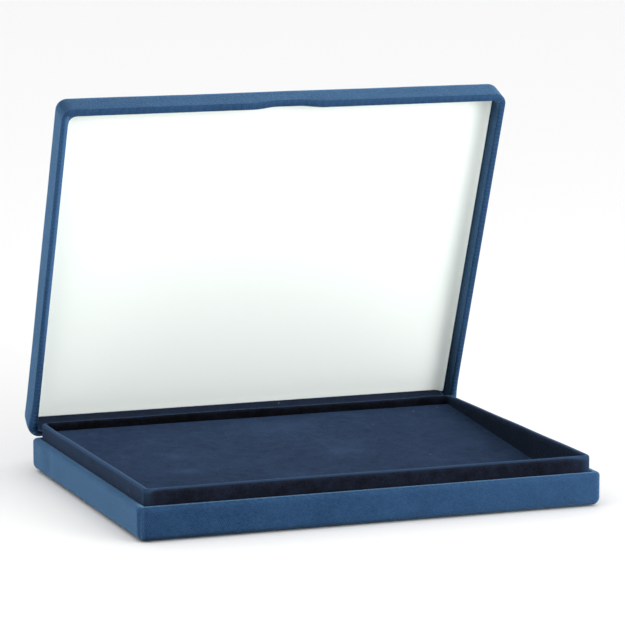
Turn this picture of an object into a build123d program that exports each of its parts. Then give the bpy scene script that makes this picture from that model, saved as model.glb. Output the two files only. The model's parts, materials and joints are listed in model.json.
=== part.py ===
"""Velvet presentation case: a flat hinged case with a raised inner collar, a sloping velvet tray
floor and a padded satin lining in the lid, standing open.

The origin is at the centre of the underside, +Z is up, +X runs along the hinge and -Y is the
front. Lengths are in millimetres. The lid is modelled at its open stop.
"""
from build123d import *
import os
from math import cos, radians, sin

# ---- outside of the case ----
case_width = 250.0
case_depth = 199.2
base_height = 17.4         # turned-under velvet to the ledge
base_corner = 4.7          # plan corner of the base
base_edge_round = 4.3      # bottom edge of the base
ledge_round = 1.9          # outer edge of the ledge
lid_height = 18.1
lid_corner = 6.2           # plan corner of the lid
lid_edge_round = 5.6       # outer edge of the lid's top
lip_outer_round = 1.5
lip_inner_round = 0.9
lid_open_angle = 68.0
lid_seat_gap = 0.3         # closed lid above the ledge

# ---- wall build-up ----
cover_t = 0.65             # velvet wrap
base_wall_t = 2.9          # moulded tray
base_bottom_t = 1.6
lid_wall_t = 2.4           # moulded lid
lid_top_t = 1.6
ledge_fold_depth = 6.0     # velvet turned down inside the base wall
glue_gap = 0.05            # between layers that are glued together
layer_gap = 0.02           # between metal let into a rebate and the rebate

# ---- underside ----
panel_proud = 0.5          # underside panel stands below the velvet
panel_inset = 14.0
panel_corner = 4.0
panel_gap = 0.3

# ---- collar ----
collar_rise = 8.5          # above the ledge
collar_velvet_t = 0.6
collar_board_t = 1.7
collar_corner = 3.0
collar_round = 1.25        # both edges of the collar's top
collar_inner_corner = 0.3  # plan corner of the velvet inside the collar
collar_board_round = 0.5
collar_tuck = 6.0          # velvet below the ledge, outside the board

# ---- sloping tray floor ----
floor_back_depth = 4.55    # collar top to the floor at the back
floor_velvet_t = 0.6
floor_foam_t = 1.5
floor_board_t = 1.5
floor_edge_gap = 0.1
floor_rest_gap = 0.1       # under the board's front edge and over the riser
riser_depth = 8.0
riser_end_inset = 10.0

# ---- padded lining of the lid ----
lining_depth = 13.25       # mouth of the lid to the lining's face
lining_t = 0.4
lining_edge_round = 1.2
pad_foam_t = 1.4
pad_edge_gap = 0.15
turn_up_radius = 3.4       # hollow of the satin rolls beside the lid's two ends
turn_up_edge_t = 0.6
turn_up_foot_t = 0.3

# ---- thumb scoop in the front lip of the lid ----
scoop_width = 40.0
scoop_flat = 12.0
scoop_depth = 2.7

# ---- hinges ----
hinge_spacing = 140.0      # centre to centre
hinge_width = 22.0
hinge_behind = 0.5         # axis behind the back face
hinge_drop = 0.95          # axis below the ledge
knuckle_radius = 1.7
lid_knuckle_length = 8.0
knuckle_end_gap = 0.3
pin_radius = 0.8
pin_fit_gap = 0.05         # turning fit in the lid's knuckle
leaf_t = 0.6
base_leaf_end = 1.65       # base leaf's end above the bottom edge's round
lid_leaf_end = 3.25        # lid leaf's end below the top edge's round
notch_gap = 0.4            # round the knuckles
rebate_gap = 0.2           # round the edges of the leaves
rivet_spacing = 14.0
rivet_end_margin = 3.1     # rivet's centre to the leaf's end
rivet_radius = 0.8
rivet_head_radius = 1.4
rivet_end_t = 0.3          # wall left behind a rivet's end
spring_t = 0.3
spring_foot_height = 4.2
spring_foot_width = 19.0
spring_tongue_width = 7.0
spring_reach = 1.7         # lip under the lid's knuckle
spring_gap = 0.35          # lip to knuckle

# ---- sizes that follow ----
velvet_z = panel_proud
shell_bottom_z = velvet_z + cover_t
tray_bottom_z = shell_bottom_z + base_bottom_t
ledge_z = velvet_z + base_height
collar_inset = 2 * cover_t + base_wall_t + glue_gap
collar_t = 2 * collar_velvet_t + collar_board_t
collar_top_z = ledge_z + collar_rise
lid_side_t = 2 * cover_t + lid_wall_t
lid_inner_top = lid_height - cover_t - lid_top_t
inner_width = case_width - 2 * (collar_inset + collar_t)
inner_depth = case_depth - 2 * (collar_inset + collar_t)
hinge_y = case_depth / 2 + hinge_behind
hinge_z = ledge_z - hinge_drop
leaf_back = hinge_behind + cover_t
base_leaf_length = hinge_z - velvet_z - base_edge_round - base_leaf_end
lid_leaf_length = lid_height + lid_seat_gap + hinge_drop - lid_edge_round - lid_leaf_end
notch_reach = knuckle_radius + notch_gap
plate_start = knuckle_radius + spring_gap + spring_t + rebate_gap
base_notch_low = -knuckle_radius - spring_gap - spring_t - notch_gap
lid_notch_high = max(notch_reach, hinge_drop + lid_seat_gap + lip_outer_round)
hinge_centres = {"left": -hinge_spacing / 2, "right": hinge_spacing / 2}
rivet_offsets = (-rivet_spacing / 2, rivet_spacing / 2)

lid_frame = Pos(0, hinge_y, hinge_z) * Rot(-lid_open_angle, 0, 0)
lid_mouth = Plane(lid_frame * Pos(0, -hinge_y, ledge_z + lid_seat_gap - hinge_z))
lid_up = Axis(lid_mouth.origin, lid_mouth.z_dir)


def rounded_block(plane, width, depth, corner, height, mode=Mode.ADD):
    """Add or cut a block with rounded plan corners, standing on a plane."""
    with BuildSketch(plane) as outline:
        RectangleRounded(width, depth, corner)
    extrude(outline.sketch, amount=height, mode=mode)


def square_block(plane, width, depth, height, mode=Mode.ADD):
    """Add or cut a block with square plan corners, standing on a plane."""
    with BuildSketch(plane) as outline:
        Rectangle(width, depth)
    extrude(outline.sketch, amount=height, mode=mode)


def side_profile(points, start_x, width, mode=Mode.ADD):
    """Add or cut a prism along X whose outline is a list of (y, z) points."""
    with BuildSketch(Plane.YZ.offset(start_x)) as outline:
        with BuildLine():
            Polyline(*points, close=True)
        make_face()
    extrude(outline.sketch, amount=width, mode=mode)


def hinge_plane(start_x, turn):
    """Plane across the hinge axis: its x is rearwards and its y is up, turned with the lid."""
    rearwards = (0, cos(radians(turn)), sin(radians(turn)))
    return Plane(origin=(start_x, hinge_y, hinge_z), x_dir=rearwards, z_dir=(1, 0, 0))


def hinge_block(centre_x, width, turn, rear, low, high, front, mode=Mode.ADD):
    """Add or cut a block at the hinge: y from front to rear and z from low to high off the axis."""
    with BuildSketch(hinge_plane(centre_x - width / 2, turn)) as outline:
        with Locations(((front + rear) / 2, (low + high) / 2)):
            Rectangle(rear - front, high - low)
    extrude(outline.sketch, amount=width, mode=mode)


def hinge_round(start_x, length, turn, radius, mode=Mode.ADD):
    """Add or cut a cylinder on the hinge axis."""
    with BuildSketch(hinge_plane(start_x, turn)) as outline:
        Circle(radius)
    extrude(outline.sketch, amount=length, mode=mode)


def cut_base_hinge_notches():
    """Room for the knuckles and the springs' lips in the rear edge of the base."""
    for centre_x in hinge_centres.values():
        hinge_block(
            centre_x, hinge_width + 2 * notch_gap, 0,
            rear=knuckle_radius, front=-notch_reach,
            low=base_notch_low, high=2 * hinge_drop, mode=Mode.SUBTRACT,
        )


def cut_lid_hinge_notches():
    """Room for the knuckles in the rear edge of the lid."""
    for centre_x in hinge_centres.values():
        hinge_block(
            centre_x, hinge_width + 2 * notch_gap, -lid_open_angle,
            rear=knuckle_radius, front=-notch_reach,
            low=-knuckle_radius, high=lid_notch_high, mode=Mode.SUBTRACT,
        )


def cut_thumb_scoop(rise):
    """Cut the shallow scoop through the lid's front wall, its floor raised by an amount."""
    front = lid_frame * Pos(0, -hinge_y, ledge_z + lid_seat_gap - hinge_z) * Plane.XZ.location
    half = scoop_width / 2
    flat = scoop_flat / 2
    deep = scoop_depth + rise
    with BuildSketch(Plane(front).offset(case_depth / 2 - lid_side_t - 1)) as scoop:
        with BuildLine():
            Line((-half, -1), (-half, rise))
            Spline((-half, rise), (-flat, deep), tangents=[(1, 0), (1, 0)])
            Line((-flat, deep), (flat, deep))
            Spline((flat, deep), (half, rise), tangents=[(1, 0), (1, 0)])
            Line((half, rise), (half, -1))
            Line((half, -1), (-half, -1))
        make_face()
    extrude(scoop.sketch, amount=lid_side_t + 2, mode=Mode.SUBTRACT)


def floor_height(y):
    """Height of the sloping floor's velvet at a depth y, a straight slope between its two ends."""
    front_z = tray_bottom_z + floor_rest_gap + floor_board_t + floor_foam_t + floor_velvet_t
    back_z = collar_top_z - floor_back_depth
    share = (y + inner_depth / 2) / inner_depth
    return front_z + (back_z - front_z) * share


def floor_layer(above, below):
    """Add one layer of the floor, between two depths under its velvet face."""
    front_y = -inner_depth / 2 + floor_edge_gap
    back_y = inner_depth / 2 - floor_edge_gap
    width = inner_width - 2 * floor_edge_gap
    points = [
        (front_y, floor_height(front_y) - below),
        (back_y, floor_height(back_y) - below),
        (back_y, floor_height(back_y) - above),
        (front_y, floor_height(front_y) - above),
    ]
    side_profile(points, -width / 2, width)


def rivet_holes(turn, way, radius, depth_from, depth_to):
    """Cut the round holes of all four rivets of one half of the hinges."""
    for centre_x in hinge_centres.values():
        for offset in rivet_offsets:
            add_rivet_round(centre_x + offset, turn, way, radius, depth_from, depth_to, Mode.SUBTRACT)


def rivet_plane(x, turn, way, depth):
    """Plane across a rivet at a depth in front of the hinge axis, facing forwards."""
    drop = (base_leaf_length if way < 0 else lid_leaf_length) - rivet_end_margin
    place = Pos(x, hinge_y, hinge_z) * Rot(turn, 0, 0) * Pos(0, -depth, way * drop)
    return Plane(place * Plane.XZ.location)


def add_rivet_round(x, turn, way, radius, depth_from, depth_to, mode=Mode.ADD):
    """Add or cut one cylinder along a rivet's axis."""
    with BuildSketch(rivet_plane(x, turn, way, depth_from)) as outline:
        Circle(radius)
    extrude(outline.sketch, amount=depth_to - depth_from, mode=mode)


def add_rivet_head(x, turn, way, head_radius, shank_radius, depth, height, mode=Mode.ADD):
    """Add or cut one countersunk head: a cone from the leaf's back face down to the shank."""
    with BuildSketch(rivet_plane(x, turn, way, depth)) as wide:
        Circle(head_radius)
    with BuildSketch(rivet_plane(x, turn, way, depth + height)) as narrow:
        Circle(shank_radius)
    loft([wide.sketch.face(), narrow.sketch.face()], mode=mode)


def add_leaf(centre_x, turn, way, tongues):
    """Add a hinge leaf: a plate let into the wall, with tongues that end in knuckles.

    way is -1 for the base's leaf, which hangs below the axis, and 1 for the lid's. Each tongue
    is a start along X and a length.
    """
    front = -leaf_back - leaf_t
    length_from_axis = base_leaf_length if way < 0 else lid_leaf_length
    near, far = sorted((way * plate_start, way * length_from_axis))
    hinge_block(centre_x, hinge_width, turn, rear=-leaf_back, front=front, low=near, high=far)
    low, high = sorted((0, way * plate_start))
    for start_x, length in tongues:
        hinge_block(
            start_x + length / 2, length, turn,
            rear=-leaf_back, front=front, low=low, high=high,
        )
        hinge_round(start_x, length, turn, knuckle_radius)


def write(builder, name):
    """Label a finished piece and write its STEP file."""
    builder.part.label = name
    export_step(builder.part, f"parts/{name}.step")


os.makedirs("parts", exist_ok=True)

# ---- base shell: moulded tray with rebates for the hinges ----
with BuildPart() as base_shell:
    rounded_block(
        Plane.XY.offset(shell_bottom_z),
        case_width - 2 * cover_t, case_depth - 2 * cover_t, base_corner - cover_t,
        base_height - 2 * cover_t,
    )
    fillet(base_shell.faces().sort_by(Axis.Z)[0].edges(), base_edge_round - cover_t)
    fillet(base_shell.faces().sort_by(Axis.Z)[-1].edges(), ledge_round - cover_t)
    rounded_block(
        Plane.XY.offset(tray_bottom_z),
        case_width - 2 * (cover_t + base_wall_t), case_depth - 2 * (cover_t + base_wall_t),
        base_corner - cover_t - base_wall_t,
        base_height, mode=Mode.SUBTRACT,
    )

# ---- base velvet: wrapped round the tray, turned over the ledge and under the bottom edge ----
with BuildPart() as base_velvet_cover:
    rounded_block(Plane.XY.offset(velvet_z), case_width, case_depth, base_corner, base_height)
    fillet(base_velvet_cover.faces().sort_by(Axis.Z)[0].edges(), base_edge_round)
    fillet(base_velvet_cover.faces().sort_by(Axis.Z)[-1].edges(), ledge_round)
    add(base_shell.part, mode=Mode.SUBTRACT)
    rounded_block(
        Plane.XY.offset(tray_bottom_z),
        case_width - 2 * (collar_inset - glue_gap), case_depth - 2 * (collar_inset - glue_gap),
        collar_corner, base_height, mode=Mode.SUBTRACT,
    )
    rounded_block(
        Plane.XY.offset(tray_bottom_z),
        case_width - 2 * (cover_t + base_wall_t), case_depth - 2 * (cover_t + base_wall_t),
        base_corner - cover_t - base_wall_t,
        ledge_z - ledge_fold_depth - tray_bottom_z, mode=Mode.SUBTRACT,
    )
    rounded_block(
        Plane.XY.offset(velvet_z - 1),
        case_width - 2 * panel_inset, case_depth - 2 * panel_inset, panel_corner,
        cover_t + 1, mode=Mode.SUBTRACT,
    )
    cut_base_hinge_notches()
write(base_velvet_cover, "base_velvet_cover")

with base_shell:
    cut_base_hinge_notches()
    for centre_x in hinge_centres.values():
        hinge_block(
            centre_x, hinge_width + 2 * rebate_gap, 0,
            rear=-leaf_back, front=-leaf_back - leaf_t - layer_gap,
            low=-base_leaf_length - rebate_gap, high=0, mode=Mode.SUBTRACT,
        )
        hinge_block(
            centre_x, spring_foot_width + 2 * rebate_gap, 0,
            rear=-leaf_back, front=-leaf_back - leaf_t - spring_t - 2 * layer_gap,
            low=-base_leaf_length + spring_gap - rebate_gap, high=0, mode=Mode.SUBTRACT,
        )
    rivet_holes(
        0, -1, rivet_radius + layer_gap,
        leaf_back, hinge_behind + cover_t + base_wall_t - rivet_end_t + layer_gap,
    )
write(base_shell, "base_shell")

# ---- underside panel: covered board glued inside the turned-under velvet ----
with BuildPart() as base_underside_panel:
    rounded_block(
        Plane.XY,
        case_width - 2 * (panel_inset + panel_gap), case_depth - 2 * (panel_inset + panel_gap),
        panel_corner - panel_gap, panel_proud + cover_t - glue_gap,
    )
write(base_underside_panel, "base_underside_panel")

# ---- collar: board rim standing in the tray, with velvet folded over it ----
board_inset = collar_inset + collar_velvet_t
with BuildPart() as collar_board:
    rounded_block(
        Plane.XY.offset(tray_bottom_z + glue_gap),
        case_width - 2 * board_inset, case_depth - 2 * board_inset,
        collar_corner - collar_velvet_t,
        collar_top_z - collar_velvet_t - tray_bottom_z - glue_gap,
    )
    square_block(
        Plane.XY.offset(tray_bottom_z),
        case_width - 2 * (board_inset + collar_board_t),
        case_depth - 2 * (board_inset + collar_board_t),
        collar_top_z, mode=Mode.SUBTRACT,
    )
    fillet(collar_board.faces().sort_by(Axis.Z)[-1].edges(), collar_board_round)
write(collar_board, "collar_board")

with BuildPart() as collar_velvet:
    rounded_block(
        Plane.XY.offset(tray_bottom_z + glue_gap),
        case_width - 2 * collar_inset, case_depth - 2 * collar_inset, collar_corner,
        collar_top_z - tray_bottom_z - glue_gap,
    )
    with BuildSketch(Plane.XY.offset(tray_bottom_z)) as below_tuck:
        RectangleRounded(case_width, case_depth, base_corner)
        RectangleRounded(
            case_width - 2 * board_inset, case_depth - 2 * board_inset,
            collar_corner - collar_velvet_t, mode=Mode.SUBTRACT,
        )
    extrude(
        below_tuck.sketch, amount=ledge_z - collar_tuck - tray_bottom_z, mode=Mode.SUBTRACT,
    )
    rounded_block(
        Plane.XY.offset(tray_bottom_z), inner_width, inner_depth, collar_inner_corner,
        collar_top_z, mode=Mode.SUBTRACT,
    )
    fillet(collar_velvet.faces().sort_by(Axis.Z)[-1].edges(), collar_round)
    add(collar_board.part, mode=Mode.SUBTRACT)
write(collar_velvet, "collar_velvet")

# ---- tray floor: velvet over foam over board, low at the front and lifted at the back ----
with BuildPart() as floor_velvet:
    floor_layer(0, floor_velvet_t)
write(floor_velvet, "floor_velvet")

with BuildPart() as floor_foam:
    floor_layer(floor_velvet_t, floor_velvet_t + floor_foam_t)
write(floor_foam, "floor_foam")

floor_build = floor_velvet_t + floor_foam_t + floor_board_t
with BuildPart() as floor_board:
    floor_layer(floor_velvet_t + floor_foam_t, floor_build)
write(floor_board, "floor_board")

riser_back_y = inner_depth / 2 - floor_edge_gap
riser_front_y = riser_back_y - riser_depth
riser_width = inner_width - 2 * riser_end_inset
with BuildPart() as floor_riser:
    side_profile(
        [
            (riser_front_y, tray_bottom_z + glue_gap),
            (riser_back_y, tray_bottom_z + glue_gap),
            (riser_back_y, floor_height(riser_back_y) - floor_build - floor_rest_gap),
            (riser_front_y, floor_height(riser_front_y) - floor_build - floor_rest_gap),
        ],
        -riser_width / 2, riser_width,
    )
write(floor_riser, "floor_riser")

# ---- lid shell: moulded lid with rebates for the hinges ----
with BuildPart() as lid_shell:
    rounded_block(
        lid_mouth.offset(cover_t),
        case_width - 2 * cover_t, case_depth - 2 * cover_t, lid_corner - cover_t,
        lid_height - 2 * cover_t,
    )
    fillet(lid_shell.faces().sort_by(lid_up)[-1].edges(), lid_edge_round - cover_t)
    fillet(lid_shell.faces().sort_by(lid_up)[0].edges(), lip_outer_round - cover_t)
    rounded_block(
        lid_mouth,
        case_width - 2 * (cover_t + lid_wall_t), case_depth - 2 * (cover_t + lid_wall_t),
        lid_corner - cover_t - lid_wall_t,
        lid_inner_top, mode=Mode.SUBTRACT,
    )
    cut_thumb_scoop(cover_t)

# ---- lid velvet: wrapped over the lid, round the lip and down the inner walls ----
with BuildPart() as lid_velvet_cover:
    rounded_block(lid_mouth, case_width, case_depth, lid_corner, lid_height)
    fillet(lid_velvet_cover.faces().sort_by(lid_up)[-1].edges(), lid_edge_round)
    fillet(lid_velvet_cover.faces().sort_by(lid_up)[0].edges(), lip_outer_round)
    rounded_block(
        lid_mouth,
        case_width - 2 * lid_side_t, case_depth - 2 * lid_side_t, lid_corner - lid_side_t,
        lid_inner_top, mode=Mode.SUBTRACT,
    )
    mouth_ring = lid_velvet_cover.faces().filter_by(lid_mouth).sort_by(lid_up)[0]
    fillet(mouth_ring.inner_wires()[0].edges(), lip_inner_round)
    cut_thumb_scoop(0)
    add(lid_shell.part, mode=Mode.SUBTRACT)
    cut_lid_hinge_notches()
write(lid_velvet_cover, "lid_velvet_cover")

with lid_shell:
    cut_lid_hinge_notches()
    for centre_x in hinge_centres.values():
        hinge_block(
            centre_x, hinge_width + 2 * rebate_gap, -lid_open_angle,
            rear=-leaf_back, front=-leaf_back - leaf_t - layer_gap,
            low=0, high=lid_leaf_length + rebate_gap, mode=Mode.SUBTRACT,
        )
    rivet_holes(
        -lid_open_angle, 1, rivet_radius + layer_gap,
        leaf_back, hinge_behind + cover_t + lid_wall_t - rivet_end_t + layer_gap,
    )
write(lid_shell, "lid_shell")

# ---- lid lining: satin over foam on a board, glued to the inside of the lid's top ----
pad_width = case_width - 2 * (lid_side_t + pad_edge_gap)
pad_depth = case_depth - 2 * (lid_side_t + pad_edge_gap)
pad_corner = lid_corner - lid_side_t - pad_edge_gap
foam_top = lining_depth + lining_t
board_top = foam_top + pad_foam_t
with BuildPart() as lid_pad_board:
    rounded_block(
        lid_mouth.offset(board_top), pad_width, pad_depth, pad_corner,
        lid_inner_top - glue_gap - board_top,
    )
write(lid_pad_board, "lid_pad_board")

with BuildPart() as lid_pad_foam:
    rounded_block(
        lid_mouth.offset(foam_top),
        pad_width - 2 * lining_t, pad_depth - 2 * lining_t, pad_corner - lining_t,
        pad_foam_t,
    )
    fillet(lid_pad_foam.faces().sort_by(lid_up)[0].edges(), lining_edge_round - lining_t)
write(lid_pad_foam, "lid_pad_foam")

with BuildPart() as lid_lining:
    rounded_block(
        lid_mouth.offset(lining_depth), pad_width, pad_depth, pad_corner,
        lining_t + pad_foam_t,
    )
    fillet(lid_lining.faces().sort_by(lid_up)[0].edges(), lining_edge_round)
    add(lid_pad_foam.part, mode=Mode.SUBTRACT)
write(lid_lining, "lid_lining")

# ---- satin rolls: the lining's two ends, turned up the lid's end walls in a hollow curve ----
roll_length = pad_depth - 2 * pad_corner
roll_wall_x = pad_width / 2
roll_foot_x = roll_wall_x - turn_up_edge_t - turn_up_radius
roll_top = lining_depth - layer_gap
roll_start = lid_mouth.from_local_coords(Vector(0, roll_length / 2, 0))
roll_plane = Plane(roll_start, x_dir=lid_mouth.x_dir, z_dir=-lid_mouth.y_dir)
with BuildPart() as lid_lining_roll_right:
    with BuildSketch(roll_plane) as roll_outline:
        with BuildLine():
            hollow = CenterArc(
                (roll_foot_x, roll_top - turn_up_foot_t - turn_up_radius), turn_up_radius, 0, 90,
            )
            Polyline(
                hollow @ 1, (roll_foot_x, roll_top), (roll_wall_x, roll_top),
                (roll_wall_x, roll_top - turn_up_foot_t - turn_up_radius), hollow @ 0,
            )
        make_face()
    extrude(amount=roll_length)
write(lid_lining_roll_right, "lid_lining_roll_right")

with BuildPart() as lid_lining_roll_left:
    add(mirror(lid_lining_roll_right.part, about=Plane.YZ))
write(lid_lining_roll_left, "lid_lining_roll_left")

# ---- hinges: two sprung hinges, their leaves let into the rear walls under the velvet ----
outer_knuckle = (hinge_width - lid_knuckle_length) / 2 - knuckle_end_gap
for side, centre_x in hinge_centres.items():
    with BuildPart() as hinge_base_leaf:
        add_leaf(
            centre_x, 0, -1,
            [
                (centre_x - hinge_width / 2, outer_knuckle),
                (centre_x + hinge_width / 2 - outer_knuckle, outer_knuckle),
            ],
        )
        hinge_round(
            centre_x - hinge_width / 2 - 1, hinge_width + 2, 0, pin_radius, mode=Mode.SUBTRACT,
        )
        for offset in rivet_offsets:
            add_rivet_head(
                centre_x + offset, 0, -1, rivet_head_radius + layer_gap,
                rivet_radius + layer_gap, leaf_back, leaf_t, mode=Mode.SUBTRACT,
            )
    write(hinge_base_leaf, f"hinge_base_leaf_{side}")

    with BuildPart() as hinge_lid_leaf:
        add_leaf(
            centre_x, -lid_open_angle, 1,
            [(centre_x - lid_knuckle_length / 2, lid_knuckle_length)],
        )
        hinge_round(
            centre_x - lid_knuckle_length, 2 * lid_knuckle_length, 0,
            pin_radius + pin_fit_gap, mode=Mode.SUBTRACT,
        )
        for offset in rivet_offsets:
            add_rivet_head(
                centre_x + offset, -lid_open_angle, 1, rivet_head_radius + layer_gap,
                rivet_radius + layer_gap, leaf_back, leaf_t, mode=Mode.SUBTRACT,
            )
    write(hinge_lid_leaf, f"hinge_lid_leaf_{side}")

    with BuildPart() as hinge_pin:
        hinge_round(centre_x - hinge_width / 2, hinge_width, 0, pin_radius)
    write(hinge_pin, f"hinge_pin_{side}")

    # Bent strip behind the base leaf; its lip bears on the lid's knuckle from below.
    spring_rear = -leaf_back - leaf_t - layer_gap
    spring_front = spring_rear - spring_t
    lip_top = -knuckle_radius - spring_gap
    foot_low = -base_leaf_length + spring_gap
    foot_high = foot_low + spring_foot_height
    with BuildPart() as hinge_spring:
        hinge_block(
            centre_x, spring_foot_width, 0,
            rear=spring_rear, front=spring_front, low=foot_low, high=foot_high,
        )
        hinge_block(
            centre_x, spring_tongue_width, 0,
            rear=spring_rear, front=spring_front, low=foot_low, high=lip_top,
        )
        hinge_block(
            centre_x, spring_tongue_width, 0,
            rear=spring_front + spring_reach, front=spring_front,
            low=lip_top - spring_t, high=lip_top,
        )
        for offset in rivet_offsets:
            add_rivet_round(
                centre_x + offset, 0, -1, rivet_radius + layer_gap,
                leaf_back, leaf_back + leaf_t + 2 * spring_t, Mode.SUBTRACT,
            )
    write(hinge_spring, f"hinge_spring_{side}")

# ---- rivets: countersunk, through the leaves into the walls ----
with BuildPart() as hinge_base_rivets:
    for centre_x in hinge_centres.values():
        for offset in rivet_offsets:
            add_rivet_head(
                centre_x + offset, 0, -1, rivet_head_radius, rivet_radius, leaf_back, leaf_t,
            )
            add_rivet_round(
                centre_x + offset, 0, -1, rivet_radius, leaf_back + leaf_t / 2,
                hinge_behind + cover_t + base_wall_t - rivet_end_t,
            )
write(hinge_base_rivets, "hinge_base_rivets")

with BuildPart() as hinge_lid_rivets:
    for centre_x in hinge_centres.values():
        for offset in rivet_offsets:
            add_rivet_head(
                centre_x + offset, -lid_open_angle, 1,
                rivet_head_radius, rivet_radius, leaf_back, leaf_t,
            )
            add_rivet_round(
                centre_x + offset, -lid_open_angle, 1, rivet_radius, leaf_back + leaf_t / 2,
                hinge_behind + cover_t + lid_wall_t - rivet_end_t,
            )
write(hinge_lid_rivets, "hinge_lid_rivets")
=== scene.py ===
"""Looks of an open velvet presentation case: blue velvet wraps, a navy collar and tray floor, and
a padded satin lining in the lid. Lengths named here are in millimetres until they enter a mesh."""

import json
from math import cos, pi, radians, sin

import bpy
import numpy as np
from mathutils import Matrix, Vector


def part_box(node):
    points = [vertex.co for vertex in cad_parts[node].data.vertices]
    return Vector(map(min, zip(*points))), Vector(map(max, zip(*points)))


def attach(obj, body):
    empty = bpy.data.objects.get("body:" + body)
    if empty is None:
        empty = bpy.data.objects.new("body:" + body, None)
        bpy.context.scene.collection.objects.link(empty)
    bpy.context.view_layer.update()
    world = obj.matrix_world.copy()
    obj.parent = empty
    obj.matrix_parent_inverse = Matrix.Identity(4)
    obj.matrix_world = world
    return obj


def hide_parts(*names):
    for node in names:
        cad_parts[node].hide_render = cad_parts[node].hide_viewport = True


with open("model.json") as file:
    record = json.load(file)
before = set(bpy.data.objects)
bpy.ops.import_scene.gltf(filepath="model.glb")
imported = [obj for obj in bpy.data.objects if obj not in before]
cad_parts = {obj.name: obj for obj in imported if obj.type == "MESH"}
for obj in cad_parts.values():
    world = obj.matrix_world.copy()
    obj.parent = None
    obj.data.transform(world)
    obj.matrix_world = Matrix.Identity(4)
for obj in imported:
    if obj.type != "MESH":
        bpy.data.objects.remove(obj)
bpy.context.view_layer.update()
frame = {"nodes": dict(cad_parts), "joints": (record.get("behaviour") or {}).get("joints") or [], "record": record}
MM = 0.001


# ---- camera ----
# A long lens from the front left, a little above the tray, as for a catalogue picture.
camera_place = Vector((-0.6070, -1.6712, 0.3687))
camera_heading = radians(20.03)
camera_tilt = radians(8.78)
camera_roll = radians(0.19)
camera_lens = 196.6

camera = bpy.data.objects.new("camera", bpy.data.cameras.new("camera"))
camera.data.lens = camera_lens
camera.data.sensor_width = 36.0
camera.data.clip_end = 50.0
bpy.context.scene.collection.objects.link(camera)
camera.matrix_world = (
    Matrix.Translation(camera_place)
    @ Matrix.Rotation(-camera_heading, 4, "Z")
    @ Matrix.Rotation(pi / 2 - camera_tilt, 4, "X")
    @ Matrix.Rotation(-camera_roll, 4, "Z")
)
bpy.context.scene.camera = camera
bpy.context.scene.view_settings.view_transform = "Standard"


# ---- floor and studio light ----
# A white sweep under a bright, even tent, with a soft key light from the upper left and two
# low soft lights in front. Each light is its place in metres, its size and its power.
tent_strength = 1.02
floor_half_width = 6.0
light_target_z = 0.08
soft_lights = {
    "key": ((-1.2, -1.2, 2.1), 1.6, 5.0),
    "front": ((1.0, -2.6, 0.3), 1.8, 42.0),
    "near right": ((0.75, -1.1, 0.22), 0.8, 8.0),
}


class Wire:
    """One shader socket that does arithmetic: each operator adds its Math node to the tree."""

    def __init__(self, tree, socket=None):
        self.tree = tree
        self.socket = socket

    def make(self, kind, settings, values, out=0):
        """Add a node: its settings first, then a value or a link for each named socket."""
        node = self.tree.nodes.new(kind)
        for key, value in settings.items():
            if key == "stops":
                ramp = node.color_ramp.elements
                while len(ramp) < len(value):
                    ramp.new(0.5)
                for element, (place, colour) in zip(ramp, value):
                    element.position = place
                    element.color = (*colour, 1.0)
            else:
                setattr(node, key, value)
        for key, value in values.items():
            if isinstance(value, Wire):
                self.tree.links.new(value.socket, node.inputs[key])
            else:
                node.inputs[key].default_value = value
        return Wire(self.tree, node.outputs[out])

    def math(self, operation, first, second):
        return self.make("ShaderNodeMath", {"operation": operation}, {0: first, 1: second})

    def __add__(self, other):
        return self.math("ADD", self, other)

    def __radd__(self, other):
        return self.math("ADD", other, self)

    def __sub__(self, other):
        return self.math("SUBTRACT", self, other)

    def __rsub__(self, other):
        return self.math("SUBTRACT", other, self)

    def __mul__(self, other):
        return self.math("MULTIPLY", self, other)

    def __rmul__(self, other):
        return self.math("MULTIPLY", other, self)

    def mix(self, low, high):
        """Colour between low, where this value is 0, and high, where it is 1."""
        return self.make(
            "ShaderNodeMix", {"data_type": "RGBA", "clamp_factor": True},
            {0: self, 6: low, 7: high}, out=2,
        )

    def noise(self, size, detail=2.0, vector=None, distortion=0.0):
        """Smooth noise from 0 to 1 whose patches are about size millimetres across."""
        return self.make(
            "ShaderNodeTexNoise", {},
            {"Vector": vector or self, "Scale": 1 / (size * MM), "Detail": detail,
             "Roughness": 0.55, "Distortion": distortion},
        )

    def wave(self, pitch):
        """Sine wave from 0 to 1 of this value, a length in metres, with a pitch in millimetres."""
        return self.math("SINE", self * (2 * pi / (pitch * MM)), 0.0) * 0.5 + 0.5


def start_material(name):
    """A new material with an empty node tree, and the wire that its nodes are made from."""
    material = bpy.data.materials.new(name)
    material.use_nodes = True
    material.node_tree.nodes.clear()
    return material, Wire(material.node_tree)


def finish_material(material, wire, shader_values, second_values=None, second_share=0.0):
    """Give the tree its Principled shader, with the values or wires of its sockets, or a mix of
    two such shaders by the second one's share."""
    shader = wire.make("ShaderNodeBsdfPrincipled", {}, shader_values)
    if second_values:
        second = wire.make("ShaderNodeBsdfPrincipled", {}, second_values)
        shader = wire.make("ShaderNodeMixShader", {}, {0: second_share, 1: shader, 2: second})
    output = material.node_tree.nodes.new("ShaderNodeOutputMaterial")
    material.node_tree.links.new(shader.socket, output.inputs["Surface"])
    return material


def object_place(wire):
    """Object coordinates: metres in the row's frame."""
    return wire.make("ShaderNodeTexCoord", {}, {}, out="Object")


def paper_white():
    material, wire = start_material("sweep_paper")
    grain = object_place(wire).noise(2.0)
    return finish_material(material, wire, {
        "Base Color": grain.mix((0.90, 0.90, 0.90, 1), (0.92, 0.92, 0.92, 1)),
        "Roughness": 0.9,
    })


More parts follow.
